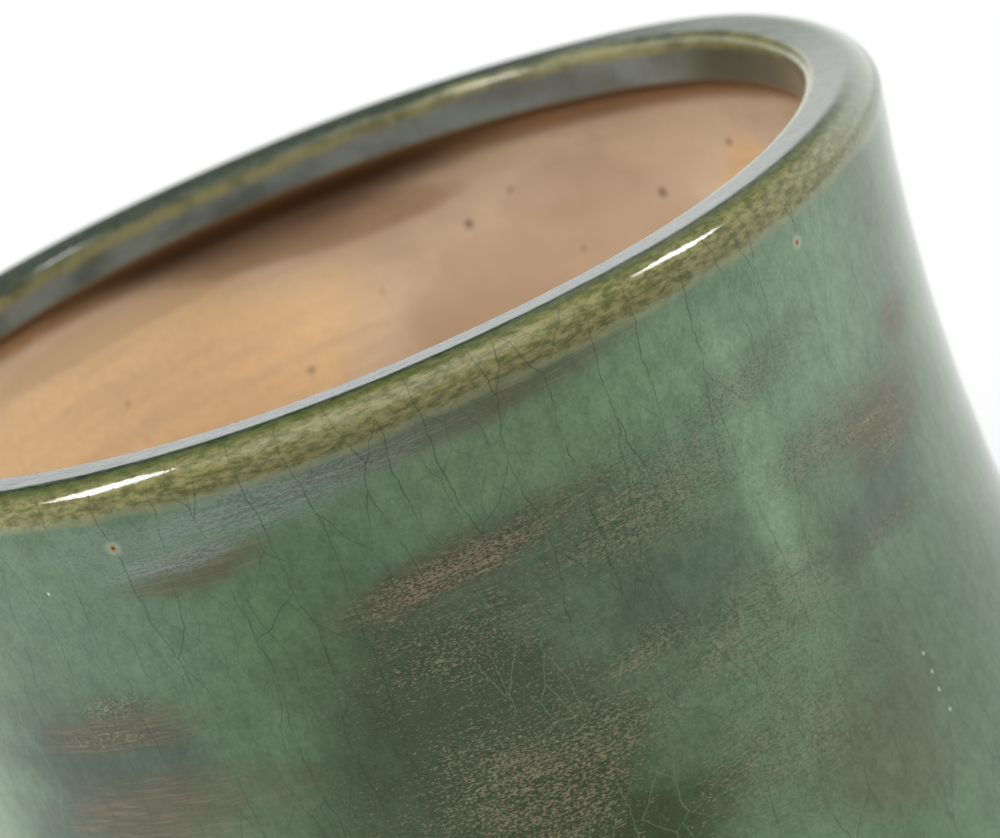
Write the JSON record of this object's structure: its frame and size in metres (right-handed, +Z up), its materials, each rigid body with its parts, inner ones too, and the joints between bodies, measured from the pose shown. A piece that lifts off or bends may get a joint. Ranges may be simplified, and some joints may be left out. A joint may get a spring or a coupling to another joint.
{
  "type": "glazed terracotta pot",
  "caption": "Round glazed terracotta planting pot with a gentle waist, a rounded rim and a plugged drain hole.",
  "frame": {"origin": "centre of the flat that the foot ring stands on", "axes": "+Z up along the pot's axis, out of the mouth; +X and +Y are free, as the pot is round"},
  "size_m": [0.2548, 0.2548, 0.265],
  "materials": {
    "terracotta": "matte",
    "green_glaze": "gloss",
    "olive_glaze": "gloss",
    "plug_rubber": "satin"
  },
  "bodies": {
    "pot": {"clay_body": "terracotta", "wall_glaze": "green_glaze", "rim_glaze": "olive_glaze"},
    "plug": {"drain_plug": "plug_rubber"}
  },
  "joints": [
    {"name": "drain_plug_lift", "type": "slide", "parent": "pot", "child": "plug", "axis": [0, 0, 1], "range_m": [0, 0.06]}
  ]
}
